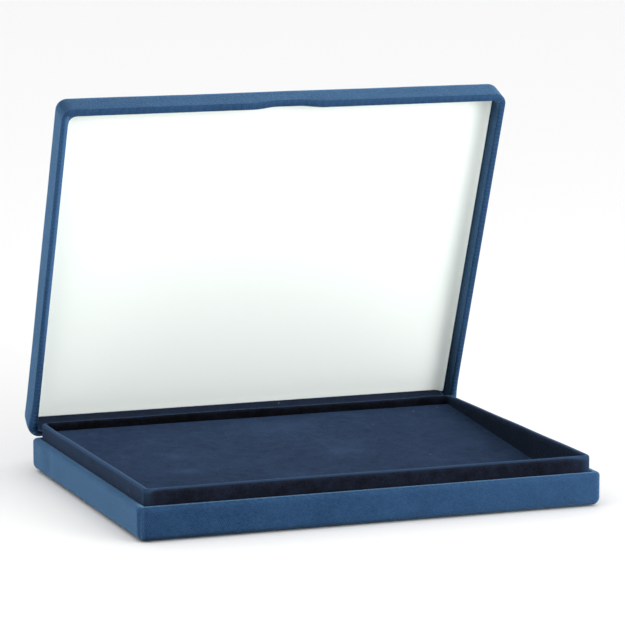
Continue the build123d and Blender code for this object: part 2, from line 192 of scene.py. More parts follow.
sweep_mesh = bpy.data.meshes.new("floor")
edge = floor_half_width
sweep_mesh.from_pydata(
    [(-edge, -edge, 0), (edge, -edge, 0), (edge, edge, 0), (-edge, edge, 0)], [], [(0, 1, 2, 3)]
)
sweep = bpy.data.objects.new("floor", sweep_mesh)
sweep.data.materials.append(paper_white())
bpy.context.scene.collection.objects.link(sweep)

tent = bpy.data.worlds.new("tent")
tent.use_nodes = True
tent_shader = tent.node_tree.nodes["Background"].inputs
tent_shader["Color"].default_value = (1.0, 1.0, 1.0, 1)
tent_shader["Strength"].default_value = tent_strength
bpy.context.scene.world = tent

for light_name, (place, size, power) in soft_lights.items():
    lamp = bpy.data.lights.new(light_name, "AREA")
    lamp.size = size
    lamp.energy = power
    lamp_object = bpy.data.objects.new(light_name, lamp)
    lamp_object.location = place
    aim = Vector((0, 0, light_target_z)) - Vector(place)
    lamp_object.rotation_euler = aim.to_track_quat("-Z", "Y").to_euler()
    bpy.context.scene.collection.objects.link(lamp_object)


# ---- base velvet ----
# Blue velvet glued round the moulded tray. It turns over the ledge, down inside the wall, and
# under the bottom edge. Its rear edge is pushed in round the two hinges.
base_low, base_high = (np.array(corner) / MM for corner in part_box("base_velvet_cover"))
case_width, case_depth = (base_high - base_low)[:2]
ledge_z = base_high[2]
velvet_z = base_low[2]
wrap_t = 0.65
base_corner = 4.7
base_edge_round = 4.3
ledge_round = 1.9
ledge_width = 4.2
ledge_inner_round = 0.5
fold_depth = 6.0
turn_under = 14.0
side_step = 2.0
corner_steps = 8


def line(start, end, count):
    """Points on a straight line, the first one left out: start + share * (end - start)."""
    share = np.linspace(0, 1, count + 1)[1:, None]
    return np.array(start) + share * (np.array(end) - np.array(start))


def arc(centre, radius, first, last, count):
    """Points on an arc from one angle to another, in degrees, the first one left out."""
    angle = np.radians(np.linspace(first, last, count + 1)[1:])
    return np.array(centre) + radius * np.column_stack((np.cos(angle), np.sin(angle)))


def side_shares(length, edges=()):
    """Places along a side from -1 to 1 of its straight length, with pairs at sharp edges."""
    places = np.linspace(-length / 2, length / 2, int(length / side_step) + 1)
    for place in edges:
        places = places[np.abs(places - place) > 0.4]
        places = np.append(places, (place - 0.03, place + 0.03))
    return np.sort(places) / (length / 2)


def ring(half_width, half_depth, corner, shares_x, shares_y):
    """One rounded rectangle as points in turn, anticlockwise from the front's left end.

    Each side is its straight half-length times the shares; each corner is a quarter circle.
    """
    straight_x, straight_y = half_width - corner, half_depth - corner
    turn = np.linspace(0, pi / 2, corner_steps + 2)[1:-1]

    def bend(centre_x, centre_y, start):
        return np.column_stack(
            (centre_x + corner * np.cos(turn + start), centre_y + corner * np.sin(turn + start))
        )

    return np.concatenate((
        np.column_stack((straight_x * shares_x, np.full(shares_x.size, -half_depth))),
        bend(straight_x, -straight_y, -pi / 2),
        np.column_stack((np.full(shares_y.size, half_width), straight_y * shares_y)),
        bend(straight_x, straight_y, 0),
        np.column_stack((-straight_x * shares_x, np.full(shares_x.size, half_depth))),
        bend(-straight_x, straight_y, pi / 2),
        np.column_stack((np.full(shares_y.size, -half_width), -straight_y * shares_y)),
        bend(-straight_x, -straight_y, pi),
    ))


def carry(profile, width, depth, corner, smallest, shares_x, shares_y):
    """Carry a profile round the case: row i of the result is the ring at profile point i.

    A profile point is (inset, height). The ring's half sizes and corner shrink by the inset,
    the corner down to the smallest one, which may differ from point to point.
    """
    rows = []
    for (inset, height), least in zip(profile, np.broadcast_to(smallest, len(profile))):
        flat = ring(
            width / 2 - inset, depth / 2 - inset, max(corner - inset, least), shares_x, shares_y,
        )
        rows.append(np.column_stack((flat, np.full(len(flat), height))))
    return np.array(rows)


def scaled_rows(row, scales):
    """Copies of a ring drawn in towards its centre, each by one scale."""
    flat = row[None, :, :] * np.array([1.0, 1.0, 0.0]) * np.array(scales)[:, None, None]
    return flat + row[None, :, :] * np.array([0.0, 0.0, 1.0])


def unfold(rows, crease_row=0):
    """Cloth coordinates of each point, as if the case's walls were laid flat beside its top.

    The length down the profile, from the crease row on, is added to x on a wall that faces
    along x, and to y on one that faces along y.
    """
    step = np.linalg.norm(np.diff(rows, axis=0), axis=2)
    run = np.concatenate((np.zeros((1, rows.shape[1])), np.cumsum(step, axis=0)))
    down = run - run[crease_row]
    if crease_row:
        down = np.maximum(-down, 0)
    around = np.roll(rows, -1, axis=1) - np.roll(rows, 1, axis=1)
    faces_y = np.abs(around[..., 0]) > np.abs(around[..., 1])
    u = rows[..., 0] + np.where(faces_y, 0, np.sign(rows[..., 0]) * down)
    v = rows[..., 1] + np.where(faces_y, np.sign(rows[..., 1]) * down, 0)
    return np.stack((u, v, np.zeros_like(u)), axis=-1)


def grid_normals(rows):
    """Unit normals of a grid of rings: the cross product of its two tangents."""
    around = np.roll(rows, -1, axis=1) - np.roll(rows, 1, axis=1)
    along = np.gradient(rows, axis=0)
    normal = np.cross(around, along)
    return normal / np.maximum(np.linalg.norm(normal, axis=2, keepdims=True), 1e-9)


def ripple(points, size, seed):
    """Low smooth unevenness from -1 to 1: a sum of six sine waves in seeded directions."""
    draw = np.random.default_rng(seed)
    total = np.zeros(points.shape[:-1])
    for _ in range(6):
        direction = draw.normal(size=3)
        direction = direction / np.linalg.norm(direction) * draw.uniform(0.6, 1.5)
        total = total + np.sin(points @ direction * (2 * pi / size) + draw.uniform(0, 2 * pi))
    return total / 6


def build_rows(name, rows, attributes, close_loop):
    """A closed mesh from rings: quads between rows, then either the last row joins the first,
    or each end row closes in a fan to a pole at its mean point."""
    count, around = rows.shape[:2]
    points = rows.reshape(-1, 3)
    index = np.arange(count * around).reshape(count, around)
    lower, upper = (index, np.roll(index, -1, axis=0)) if close_loop else (index[:-1], index[1:])
    faces = np.stack(
        (lower, np.roll(lower, -1, axis=1), np.roll(upper, -1, axis=1), upper), axis=-1
    ).reshape(-1, 4).tolist()
    fields = {key: np.asarray(v).reshape(len(points), -1) for key, v in attributes.items()}
    if not close_loop:
        poles = (rows[0].mean(axis=0), rows[-1].mean(axis=0))
        points = np.vstack((points, poles))
        fields = {key: np.vstack((v, v[:around].mean(axis=0), v[-around:].mean(axis=0)))
                  for key, v in fields.items()}
        first, last = index[0], index[-1]
        low_pole, high_pole = count * around, count * around + 1
        faces += [(low_pole, b, a) for a, b in zip(first, np.roll(first, -1))]
        faces += [(high_pole, a, b) for a, b in zip(last, np.roll(last, -1))]
    mesh = bpy.data.meshes.new(name)
    mesh.from_pydata((points * MM).tolist(), [], [[int(i) for i in f] for f in faces])
    mesh.polygons.foreach_set("use_smooth", np.ones(len(mesh.polygons), bool))
    for key, value in fields.items():
        kind = "FLOAT_VECTOR" if value.shape[1] == 3 else "FLOAT"
        layer = mesh.attributes.new(key, kind, "POINT")
        layer.data.foreach_set("vector" if kind == "FLOAT_VECTOR" else "value",
                               value.astype(np.float32).ravel())
    mesh.update()
    piece = bpy.data.objects.new(name, mesh)
    bpy.context.scene.collection.objects.link(piece)
    return piece


def bump_at(place, centre, reach):
    """A smooth bump of height 1 at a centre that fades out over a reach: exp(-(d / reach)^2)."""
    return np.exp(-((place - centre) / reach) ** 2)


hinge_spacing = 140.0
notch_half = 11.4
notch_depth = 1.55
notch_low = 2.75
hinge_x = (-hinge_spacing / 2, hinge_spacing / 2)
joint = frame["joints"][0]
hinge_place = np.array(joint["pos_m"]) / MM
notch_edges = [x + way * notch_half for x in hinge_x for way in (-1, 1)]

shares_x = side_shares(case_width - 2 * base_corner, notch_edges)
shares_y = side_shares(case_depth - 2 * base_corner)
notch_z = hinge_place[2] - notch_low


def wrap_section(inward):
    """The base wrap's section as (inset, height), from under the case up to the ledge and down
    inside the wall; for its face, or for its back, inward of it."""
    r_top, r_low = ledge_round - inward, base_edge_round - inward
    top, low, inner = ledge_z - inward, velvet_z + inward, ledge_width - inward
    return np.concatenate((
        line((turn_under, low), (base_edge_round, low), 3),
        arc((base_edge_round, velvet_z + base_edge_round), r_low, 270, 180, 10),
        line((inward, velvet_z + base_edge_round), (inward, notch_z - 0.03), 10),
        line((inward, notch_z - 0.03), (inward, notch_z + 0.03), 1),
        line((inward, notch_z + 0.03), (inward, ledge_z - ledge_round), 3),
        arc((ledge_round, ledge_z - ledge_round), r_top, 180, 90, 8),
        line((ledge_round, top), (inner - ledge_inner_round, top), 3),
        line((inner - ledge_inner_round, top), (inner, top - ledge_inner_round), 2),
        line((inner, top - ledge_inner_round), (inner, ledge_z - fold_depth), 4),
    ))


def near_hinges(x):
    """True within the notches of the two hinges along x."""
    return np.any([np.abs(x - centre) < notch_half for centre in hinge_x], axis=0)


def push_in_notches(rows, at_notch_height, facing):
    """Push the back wall in at the two hinges, where a mask says that the height is a notch's;
    facing is above 0 on the cloth's face."""
    in_notch = near_hinges(rows[..., 0]) & (rows[..., 1] > 0) & at_notch_height
    wall = case_depth / 2 - notch_depth - np.where(facing > 0, 0, wrap_t)
    rows[..., 1] = np.where(in_notch, np.minimum(rows[..., 1], wall), rows[..., 1])


def wrinkle_base(rows):
    """Outward swell of the base's walls in millimetres: low ripples everywhere, two soft tucks
    at the back of the left side, and three faint upright creases beside the front's middle."""
    x, y, z = rows[..., 0], rows[..., 1], rows[..., 2]
    swell = 0.10 * ripple(rows, 90, 1) + 0.05 * ripple(rows, 23, 2)
    left = (x < -case_width / 2 + 3) * 1.0
    swell = swell + left * (0.45 * bump_at(y, 78, 8) - 0.30 * bump_at(y, 63, 5))
    front = (y < -case_depth / 2 + 3) * 1.0
    for place, depth in ((-2, 0.10), (12, 0.14), (31, 0.12)):
        swell = swell - front * depth * bump_at(x, place, 2.2)
    upright = np.clip((z - velvet_z - 2) / 5, 0, 1) * np.clip((ledge_z - 0.5 - z) / 2, 0.12, 1)
    return swell * upright


wrap_profile = np.concatenate((wrap_section(0), wrap_section(wrap_t)[::-1]))
wrap_facing = np.repeat((1.0, -1.0), len(wrap_profile) // 2)[:, None]
base_rows = carry(wrap_profile, case_width, case_depth, base_corner, 0.25, shares_x, shares_y)
base_cloth = unfold(base_rows)
base_swell = (wrinkle_base(base_rows) * wrap_facing)[..., None]
base_rows = base_rows + grid_normals(base_rows) * base_swell
push_in_notches(base_rows, base_rows[..., 2] > notch_z, wrap_facing)


def base_light_paint(rows):
    """Painted light and shade for the base's colour: a painted highlight along the ledge's edge,
    painted sheen on the left side, painted shade where the cloth turns under, and painted light
    growing towards the right."""
    x, z = rows[..., 0], rows[..., 2]
    ledge_highlight = 0.35 * bump_at(z, ledge_z - 0.6, 1.6)
    hem_shade = -2.2 * np.clip(1 - (z - velvet_z) / 2.6, 0, 1)
    left = 0.7 * (x < -case_width / 2 + 3)
    return ledge_highlight + left + 0.25 + 0.45 * x / (case_width / 2) + hem_shade


base_painted_light = base_light_paint(base_rows)
base_velvet = build_rows(
    "base_velvet", base_rows, {"cloth": base_cloth * MM, "wear": base_painted_light}, close_loop=True
)


lint_colour = (0.22, 0.25, 0.30, 1)
lint_reach = 0.022


def velvet(
    name, deep, light, bloom, pile_size, weave_pitch, weave_share, sheen, sheen_colour,
    smudge, blotch, grain, lint_spacing,
):
    """Short-pile velvet: deep and light are the dark and light ends of its colour, and bloom is
    its colour where the attribute of painted light and marks is above 1: a painted highlight
    on edges and lit lips, and the real light seam where the collar's strips butt.

    Colour = deep to light by (brush marks + mottling + weave + that attribute), with a speck of
    lint in each cell of a scattered pattern. The bump is pile grain plus the weave's ribs. Where
    the attribute is below 0, a darker copy of the shader with less sheen is mixed in: painted
    shade.
    """
    material, wire = start_material(name)
    place = object_place(wire)
    cloth = wire.make("ShaderNodeAttribute", {"attribute_name": "cloth"}, {}, out="Vector")
    wear = wire.make("ShaderNodeAttribute", {"attribute_name": "wear"}, {}, out="Fac")
    u = wire.make("ShaderNodeSeparateXYZ", {}, {0: cloth}, out="X")
    v = wire.make("ShaderNodeSeparateXYZ", {}, {0: cloth}, out="Y")
    brushed_and_lit = place.noise(smudge, 3.0, distortion=1.2)
    mottled = place.noise(smudge / 7, 3.0)
    pile = place.noise(pile_size, 3.0)
    ribs = (u + v * 0.4 + mottled * (0.8 * MM)).wave(weave_pitch)
    cross = (u * 0.3 - v).wave(weave_pitch * 1.3)
    weave = ribs * 0.7 + cross * 0.3
    tone = (brushed_and_lit - 0.5) * blotch + (mottled - 0.5) * blotch + (pile - 0.5) * grain
    # The attribute adds painted light and shade to the tone, and real marks on the floor and the seam.
    tone = tone + (weave - 0.5) * weave_share + wear * 0.45 + 0.42
    cell = wire.make("ShaderNodeTexVoronoi", {}, {
        "Vector": place, "Scale": 1 / (lint_spacing * MM),
    })
    lint = cell.math("LESS_THAN", cell, lint_reach)
    height = pile * 0.7 + weave * weave_share
    bump = wire.make("ShaderNodeBump", {}, {
        "Strength": 0.8, "Distance": 0.0005, "Height": height,
    })
    cloth_colour = (wear - 1.0).mix(tone.mix((*deep, 1), (*light, 1)), (*bloom, 1))
    unshaded = {
        "Base Color": lint.mix(cloth_colour, lint_colour),
        "Roughness": 0.92,
        "Specular IOR Level": 0.05,
        "Sheen Weight": sheen,
        "Sheen Roughness": 0.35,
        "Sheen Tint": (*sheen_colour, 1),
        "Normal": bump,
    }
    # Painted shade: a darker copy of the shader, with a fifth of the sheen, mixed in below 0.
    shaded = tuple(0.4 * part for part in deep)
    shaded_copy = {**unshaded, "Base Color": (*shaded, 1), "Sheen Weight": sheen * 0.2}
    share = wire.math("MAXIMUM", wire.math("MINIMUM", wear * -0.7, 1.0), 0.0)
    return finish_material(material, wire, unshaded, shaded_copy, share)


blue_velvet = velvet(
    "blue_velvet",
    deep=(0.006, 0.022, 0.056), light=(0.027, 0.070, 0.152), bloom=(0.05, 0.12, 0.24),
    pile_size=0.9, weave_pitch=0.95, weave_share=0.42,
    sheen=0.75, sheen_colour=(0.30, 0.60, 0.98),
    smudge=45, blotch=0.4, grain=0.9, lint_spacing=60,
)


def dress(piece, material, body, slot, *nodes):
    """Give a piece its material, its body and the CAD nodes it stands for; slot is not used."""
    piece.data.materials.append(material)
    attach(piece, body)
    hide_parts(*nodes)


dress(base_velvet, blue_velvet, "base", "blue_velvet", "base_velvet_cover")


# ---- collar velvet ----
# Navy velvet folded over the card rim. Each side is its own strip, and the strips butt at the
# inner corner at the right of the back. Each side's colour has painted light and shade of its own.
collar_low, collar_high = (np.array(corner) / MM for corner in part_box("collar_velvet"))
collar_width, collar_depth = (collar_high - collar_low)[:2]
collar_top = collar_high[2]
collar_t = 2.9
collar_velvet_t = 0.6
collar_corner = 4.0
collar_round = 1.25
collar_tuck = 6.0
collar_foot = collar_low[2]
navy_sheen_colour = (0.28, 0.52, 1.0)


def collar_section(inward):
    """The collar velvet's section as (inset, height), for its face or its back, inward of it."""
    round_r = collar_round - inward * 0.8
    top = collar_top - inward
    return np.concatenate((
        line((inward, ledge_z - collar_tuck), (inward, ledge_z), 3),
        line((inward, ledge_z), (inward, top - round_r), 5),
        arc((inward + round_r, top - round_r), round_r, 180, 90, 6),
        arc((collar_t - inward - round_r, top - round_r), round_r, 90, 0, 6),
        line((collar_t - inward, top - round_r), (collar_t - inward, collar_foot), 12),
    ))


def collar_lift(rows):
    """Rise of the collar's top in millimetres: gentle waves, the front corners rounded down, the
    left side a little low towards the back, and a pucker where the strips meet at the right."""
    x, y, z = rows[..., 0], rows[..., 1], rows[..., 2]
    lift = 0.22 * ripple(rows * np.array([1, 1, 0]), 70, 5)
    lift = lift - 0.5 * bump_at(y, 70, 22) * (x < -collar_width / 2 + 4)
    lift = lift + 0.35 * bump_at(x, collar_width / 2 - 14, 6) * (y > collar_depth / 2 - 4)
    from_corner = np.hypot(collar_width / 2 - np.abs(x), collar_depth / 2 + y)
    lift = lift - 0.3 * bump_at(from_corner, 0, 3.4)
    return lift * np.clip((z - ledge_z) / 5, 0, 1)


collar_profile = np.concatenate((collar_section(0), collar_section(collar_velvet_t)[::-1]))
collar_shares_x = side_shares(collar_width - 2 * collar_corner)
collar_shares_y = side_shares(collar_depth - 2 * collar_corner)
collar_rows = carry(
    collar_profile, collar_width, collar_depth, collar_corner, 0.3,
    collar_shares_x, collar_shares_y,
)
collar_cloth = unfold(collar_rows)
collar_rows[..., 2] += collar_lift(collar_rows)


def strip_light_paint(rows):
    """Painted light and shade for each strip: painted sheen on the left strip's outer face, painted
    shade on the inner faces, less of it towards the front on the right, a painted highlight on
    the rounded front corners, and a lighter patch at the front's right end."""
    x, y = rows[..., 0], rows[..., 1]
    out_x, out_y = collar_width / 2 - np.abs(x), collar_depth / 2 - np.abs(y)
    inner = np.minimum(out_x, out_y) > collar_t - 1.2
    left = 0.6 * (x < 0) * (out_x < 0.6) * (out_y > 2)
    corner = 1.3 * bump_at(np.hypot(out_x, out_y), 1.5, 3.2) * (y < 0) * ~inner
    brushed_and_lit = 0.9 * bump_at(x, collar_width / 2 - 7, 5) * (y < -collar_depth / 2 + 1)
    right = 0.5 * bump_at(y, -collar_depth / 2, 60) * (x > 0)
    return left + corner + brushed_and_lit + inner * (right - 0.6)


# Painted highlight along the rounded top, weaker on the back strip; then the strips' light seam.
collar_crown = bump_at(collar_profile[:, 1], collar_top - 0.2, 1.0)[:, None]
butt_joint = np.hypot(
    collar_rows[..., 0] - collar_width / 2 + collar_t,
    collar_rows[..., 1] - collar_depth / 2 + collar_t,
)
crown_light = np.where(collar_rows[..., 1] > collar_depth / 2 - collar_t - 0.5, 0.6, 1.8)
collar_light_and_seam = collar_crown * crown_light + strip_light_paint(collar_rows)
collar_light_and_seam = collar_light_and_seam + 3.0 * bump_at(butt_joint, 0, 0.5)
collar_piece = build_rows(
    "collar_velvet_strips", collar_rows,
    {"cloth": collar_cloth * MM, "wear": collar_light_and_seam}, close_loop=True,
)
navy_collar_velvet = velvet(
    "navy_collar_velvet",
    deep=(0.0015, 0.0015, 0.002), light=(0.010, 0.014, 0.028), bloom=(0.020, 0.044, 0.086),
    pile_size=0.8, weave_pitch=0.9, weave_share=0.15,
    sheen=0.30, sheen_colour=navy_sheen_colour,
    smudge=30, blotch=1.0, grain=1.3, lint_spacing=16,
)
dress(collar_piece, navy_collar_velvet, "base", "navy_velvet", "collar_velvet")


# ---- tray floor ----
# A velvet-covered foam pad on a board, sloping down from the back to the front. It sags a
# little in the middle, and fingers have left lighter marks in its pile.
pad_low, pad_high = (np.array(corner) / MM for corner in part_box("floor_velvet"))
pad_velvet_t = 0.6
pad_half_x, pad_half_y = (pad_high - pad_low)[:2] / 2
pad_corner = 1.2
pad_edge_round = 0.5
pad_sag = 0.35


def pad_height(x, y):
    """Height of the pad's velvet: the slope between its ends, less the sag, plus ripples."""
    share = (y + pad_half_y) / (2 * pad_half_y)
    slope = pad_low[2] + pad_velvet_t + (pad_high[2] - pad_low[2] - pad_velvet_t) * share
    bowl = (1 - (x / pad_half_x) ** 4) * (1 - (y / pad_half_y) ** 2)
    place = np.stack((x, y, np.zeros_like(x)), axis=-1)
    return slope - pad_sag * np.maximum(bowl, 0) + 0.12 * ripple(place, 60, 8)


pad_profile = np.concatenate((
    line((3.0, -pad_velvet_t), (0.0, -pad_velvet_t), 2),
    line((0.0, -pad_velvet_t), (0.0, -pad_edge_round), 1),
    arc((pad_edge_round, -pad_edge_round), pad_edge_round, 180, 90, 5),
    line((pad_edge_round, 0), (6.0, 0), 4),
))
pad_rows = carry(
    pad_profile, 2 * pad_half_x, 2 * pad_half_y, pad_corner, 0.4,
    side_shares(2 * pad_half_x - 2 * pad_corner), side_shares(2 * pad_half_y - 2 * pad_corner),
)
inward_scales = np.linspace(1, 0, 52)[1:-1]
pad_rows = np.concatenate((
    scaled_rows(pad_rows[0], inward_scales[::-4]), pad_rows,
    scaled_rows(pad_rows[-1], inward_scales),
))
pad_rows[..., 2] += pad_height(pad_rows[..., 0], pad_rows[..., 1])


def finger_marks(rows):
    """Lighter smudges in the pile: each is a soft oval, exp(-(dx / a)^2 - (dy / b)^2), given as
    its place, its two half sizes in millimetres and how light it is."""
    marks = (
        (-68, 0, 7, 4, 1.2), (-65, 28, 6, 5, 0.8), (27, 16, 13, 11, 0.9),
        (10, 70, 26, 13, 0.7), (-10, -20, 22, 7, 0.5),
    )
    x, y = rows[..., 0], rows[..., 1]
    return sum(
        light * np.exp(-(((x - at_x) / wide) ** 2) - ((y - at_y) / deep) ** 2)
        for at_x, at_y, wide, deep, light in marks
    )


floor_pad = build_rows(
    "floor_pad_velvet", pad_rows,
    {"cloth": pad_rows * np.array([1, 1, 0]) * MM, "wear": finger_marks(pad_rows)},
    close_loop=False,
)
navy_floor_velvet = velvet(
    "navy_floor_velvet",
    deep=(0.002, 0.006, 0.016), light=(0.020, 0.036, 0.080), bloom=(0.04, 0.06, 0.13),
    pile_size=0.9, weave_pitch=0.9, weave_share=0.1,
    sheen=0.15, sheen_colour=navy_sheen_colour,
    smudge=42, blotch=0.75, grain=1.4, lint_spacing=17,
)
dress(floor_pad, navy_floor_velvet, "base", "navy_velvet", "floor_velvet")


# ---- lid velvet ----
# The same blue velvet, wrapped over the moulded lid, round its lip and down its inner walls.
# The front lip has a shallow scoop for a thumb, and the back lip is notched at the hinges.
open_angle = radians(-joint["range_deg"][0])


def turned(points, angle):
    """Points turned about the hinge axis: y and z rotated by an angle about +X."""
    y, z = points[..., 1] - hinge_place[1], points[..., 2] - hinge_place[2]
    return np.stack((
        points[..., 0],
        hinge_place[1] + y * cos(angle) - z * sin(angle),
        hinge_place[2] + y * sin(angle) + z * cos(angle),
    ), axis=-1)


def shut_box(node):
    """Lowest and highest corner of a lid node with the lid shut, in millimetres."""
    flat = np.empty(len(frame["nodes"][node].data.vertices) * 3)
    frame["nodes"][node].data.vertices.foreach_get("co", flat)
    shut = turned(flat.reshape(-1, 3) / MM, open_angle)
    return shut.min(axis=0), shut.max(axis=0)


lid_low, lid_high = shut_box("lid_velvet_cover")
mouth_z, lid_top = lid_low[2], lid_high[2]
lid_side = 3.7
lid_corner = 6.2
lid_inner_corner = 4.4
lid_edge_round = 5.6
lip_outer_round = 1.5
lip_inner_round = 0.9
inner_wall_end = 15.4
scoop_half = 20.0
scoop_flat = 6.0
scoop_depth = 2.7
scoop_reach = 9.0


def lid_section(inward):
    """The lid wrap's section as (inset, height over the mouth): the inner wall down to the lip,
    round it, up the outer wall and over the edge; for its face or its back, inward of it."""
    r_edge, r_lip = lid_edge_round - inward, lip_outer_round - inward
    r_in = lip_inner_round - inward * 0.6
    inner, tall = lid_side - inward, lid_top - mouth_z
    return np.concatenate((
        line((inner, inner_wall_end), (inner, inward + r_in), 12),
        arc((inner - r_in, inward + r_in), r_in, 360, 270, 5),
        line((inner - r_in, inward), (lip_outer_round, inward), 3),
        arc((lip_outer_round, lip_outer_round), r_lip, 270, 180, 6),
        line((inward, lip_outer_round), (inward, tall - lid_edge_round), 10),
        arc((lid_edge_round, tall - lid_edge_round), r_edge, 180, 90, 12),
    ))


def thumb_scoop(rows):
    """Rise of the front lip in millimetres: a flat middle with an S-curved ramp at each end,
    fading out with height above the lip."""
    x, y, z = rows[..., 0], rows[..., 1], rows[..., 2]
    ramp = np.clip((scoop_half - np.abs(x)) / (scoop_half - scoop_flat), 0, 1)
    fade = np.clip(1 - (z - mouth_z) / scoop_reach, 0, 1)
    front = y < -case_depth / 2 + lid_side + 1
    return scoop_depth * ramp ** 2 * (3 - 2 * ramp) * fade * front


def soften_front_corners(rows, inset):
    """Fill the inner walls' two front corners with cloth: points nearer the corner than the
    softer radius are drawn in to its arc."""
    inset = inset[:, None]
    reach_x = case_width / 2 - inset - np.abs(rows[..., 0]) - lid_inner_corner
    reach_y = case_depth / 2 - inset - np.abs(rows[..., 1]) - lid_inner_corner
    far = np.hypot(reach_x, reach_y)
    inner_wall = (inset > 2.5) & (inset < lid_side + 0.1) & (rows[..., 2] < inner_wall_end + 0.1)
    fill = (reach_x < 0) & (reach_y < 0) & (rows[..., 1] < 0) & inner_wall
    share = np.where(fill, np.minimum(lid_inner_corner / np.maximum(far, 1e-9), 1), 1)
    sign = np.sign(rows[..., :2])
    centre = sign * np.stack(
        np.broadcast_arrays(case_width / 2 - inset - lid_inner_corner,
                            case_depth / 2 - inset - lid_inner_corner), axis=-1)
    drawn = centre + (rows[..., :2] - centre) * share[..., None]
    return np.concatenate((drawn, rows[..., 2:]), axis=-1)


def wrinkle_lid(rows):
    """Outward swell of the lid's wrap in millimetres: low ripples, fading to none at the lip,
    and loose cloth behind each back corner."""
    x, y, z = rows[..., 0], rows[..., 1], rows[..., 2]
    fade = np.clip((z - mouth_z - 2) / 4, 0, 1)
    inside = (np.abs(x) < case_width / 2 - 2) & (np.abs(y) < case_depth / 2 - 2)
    swell = (0.12 * ripple(rows, 80, 11) + 0.05 * ripple(rows, 21, 12)) * fade
    behind = np.clip((y - case_depth / 2 + 24) / 20, 0, 1) ** 2 * bump_at(z, mouth_z + 3.6, 8.0)
    behind = behind * np.clip((z - mouth_z - 0.4) / 1.2, 0, 1)
    swell = swell + 1.3 * behind * bump_at(np.abs(x), case_width / 2 - 2, 14)
    return swell * ~(inside & (z < lid_top - 3))


lid_face, lid_back = lid_section(0), lid_section(wrap_t)[::-1]
lid_facing = np.concatenate((-np.ones(len(lid_back)), np.ones(len(lid_face))))
lid_shares_x = side_shares(case_width - 2 * lid_corner, notch_edges)
lid_shares_y = side_shares(case_depth - 2 * lid_corner)
lid_profile = np.concatenate((lid_back, lid_face))
lid_rows = carry(
    lid_profile, case_width, case_depth, lid_corner, 0.5, lid_shares_x, lid_shares_y,
)
lid_rows = soften_front_corners(lid_rows, lid_profile[:, 0])
lid_rows = np.concatenate((
    scaled_rows(lid_rows[0], inward_scales[::-4]), lid_rows,
    scaled_rows(lid_rows[-1], inward_scales),
))
lid_facing = np.concatenate((
    -np.ones(inward_scales[::-4].size), lid_facing, np.ones(inward_scales.size),
))[:, None]
lid_rows[..., 2] += mouth_z
crease_row = len(lid_rows) - inward_scales.size - 1
lid_cloth = unfold(lid_rows, crease_row)
lid_rows = lid_rows + grid_normals(lid_rows) * (wrinkle_lid(lid_rows) * lid_facing)[..., None]
lid_rows[..., 2] += thumb_scoop(lid_rows)
push_in_notches(lid_rows, lid_rows[..., 2] < hinge_place[2] + notch_low, lid_facing)


def lid_light_paint(rows):
    """Painted light and shade for the lid's colour, shut: painted light outside, more on the front
    of the left wall and towards the right, and along the left lip; painted shade inside towards
    the back and the lining, and a painted lighter band on the wall inside the hinge edge.

    Inset = corner - hypot of how far a point is past the corner's centre along x and along y.
    """
    x, y, z = rows[..., 0], rows[..., 1], rows[..., 2]
    out_x, out_y = case_width / 2 - np.abs(x), case_depth / 2 - np.abs(y)
    past_x, past_y = np.maximum(lid_corner - out_x, 0), np.maximum(lid_corner - out_y, 0)
    inset = lid_corner - np.hypot(past_x, past_y)
    inside = np.clip((inset - 0.8) / 2.4, 0, 1) * (z < mouth_z + inner_wall_end + 0.1)
    towards_back = np.clip((y - 20) / (case_depth / 2 - 20), 0, 1)
    deep_inside = np.clip((z - mouth_z) / inner_wall_end, 0, 1)
    # Painted light on the band of wall inside the hinge edge.
    hinge_wall = (inside > 0.9) & (y > case_depth / 2 - lid_side - 0.5)
    # Painted light along the left lip and the front of the left inner wall.
    brushed_and_lit = 2.4 * (x < 0) * (1 - towards_back) * (out_x < lid_side) * (out_y > out_x)
    shade = 0.35 - 1.7 * deep_inside - 1.9 * towards_back ** 2 + 3.4 * hinge_wall + brushed_and_lit
    # Painted light outside: more on the front of the left wall and towards the right.
    outside = 0.65 + 0.6 * (x < 0) * (y < 0) * (out_x < 1) + 0.25 * x / (case_width / 2)
    return inside * shade + (1 - inside) * outside


lid_velvet = build_rows(
    "lid_velvet", turned(lid_rows, -open_angle),
    {"cloth": lid_cloth * MM, "wear": lid_light_paint(lid_rows)}, close_loop=False,
)
dress(lid_velvet, blue_velvet, "lid", "blue_velvet", "lid_velvet_cover")

# The wall inside the hinge edge is drawn with the collar's navy velvet instead, so it shows dark navy.
lid_velvet.data.materials.append(navy_collar_velvet)
face_rows = lid_rows[:-1]
on_hinge_wall = (
    (np.abs(face_rows[..., 1] - case_depth / 2 + lid_side) < 0.3)
    & (np.abs(face_rows[..., 0]) < case_width / 2 - lid_side - 1)
    & (face_rows[..., 2] > mouth_z + 0.4) & (face_rows[..., 2] < mouth_z + inner_wall_end + 0.1)
)
face_slots = np.zeros(len(lid_velvet.data.polygons), np.int32)
face_slots[:on_hinge_wall.size] = on_hinge_wall.ravel()
lid_velvet.data.polygons.foreach_set("material_index", face_slots)


# ---- lid lining ----
# Off-white satin over thin foam on a board, rolled up the lid's two end walls: a flat pillow,
# inflated as cloth and held by its edge and its back.
lining_low, lining_high = shut_box("lid_lining")
lining_half_x, lining_half_y = (lining_high - lining_low)[:2] / 2
lining_board_z = lining_high[2]
lining_rise = lining_high[2] - lining_low[2]
lining_corner = 2.2
lining_pressure = 4.0
lining_cap = 0.6
roll_radius = 3.4
roll_edge = 0.6
roll_foot = 0.3


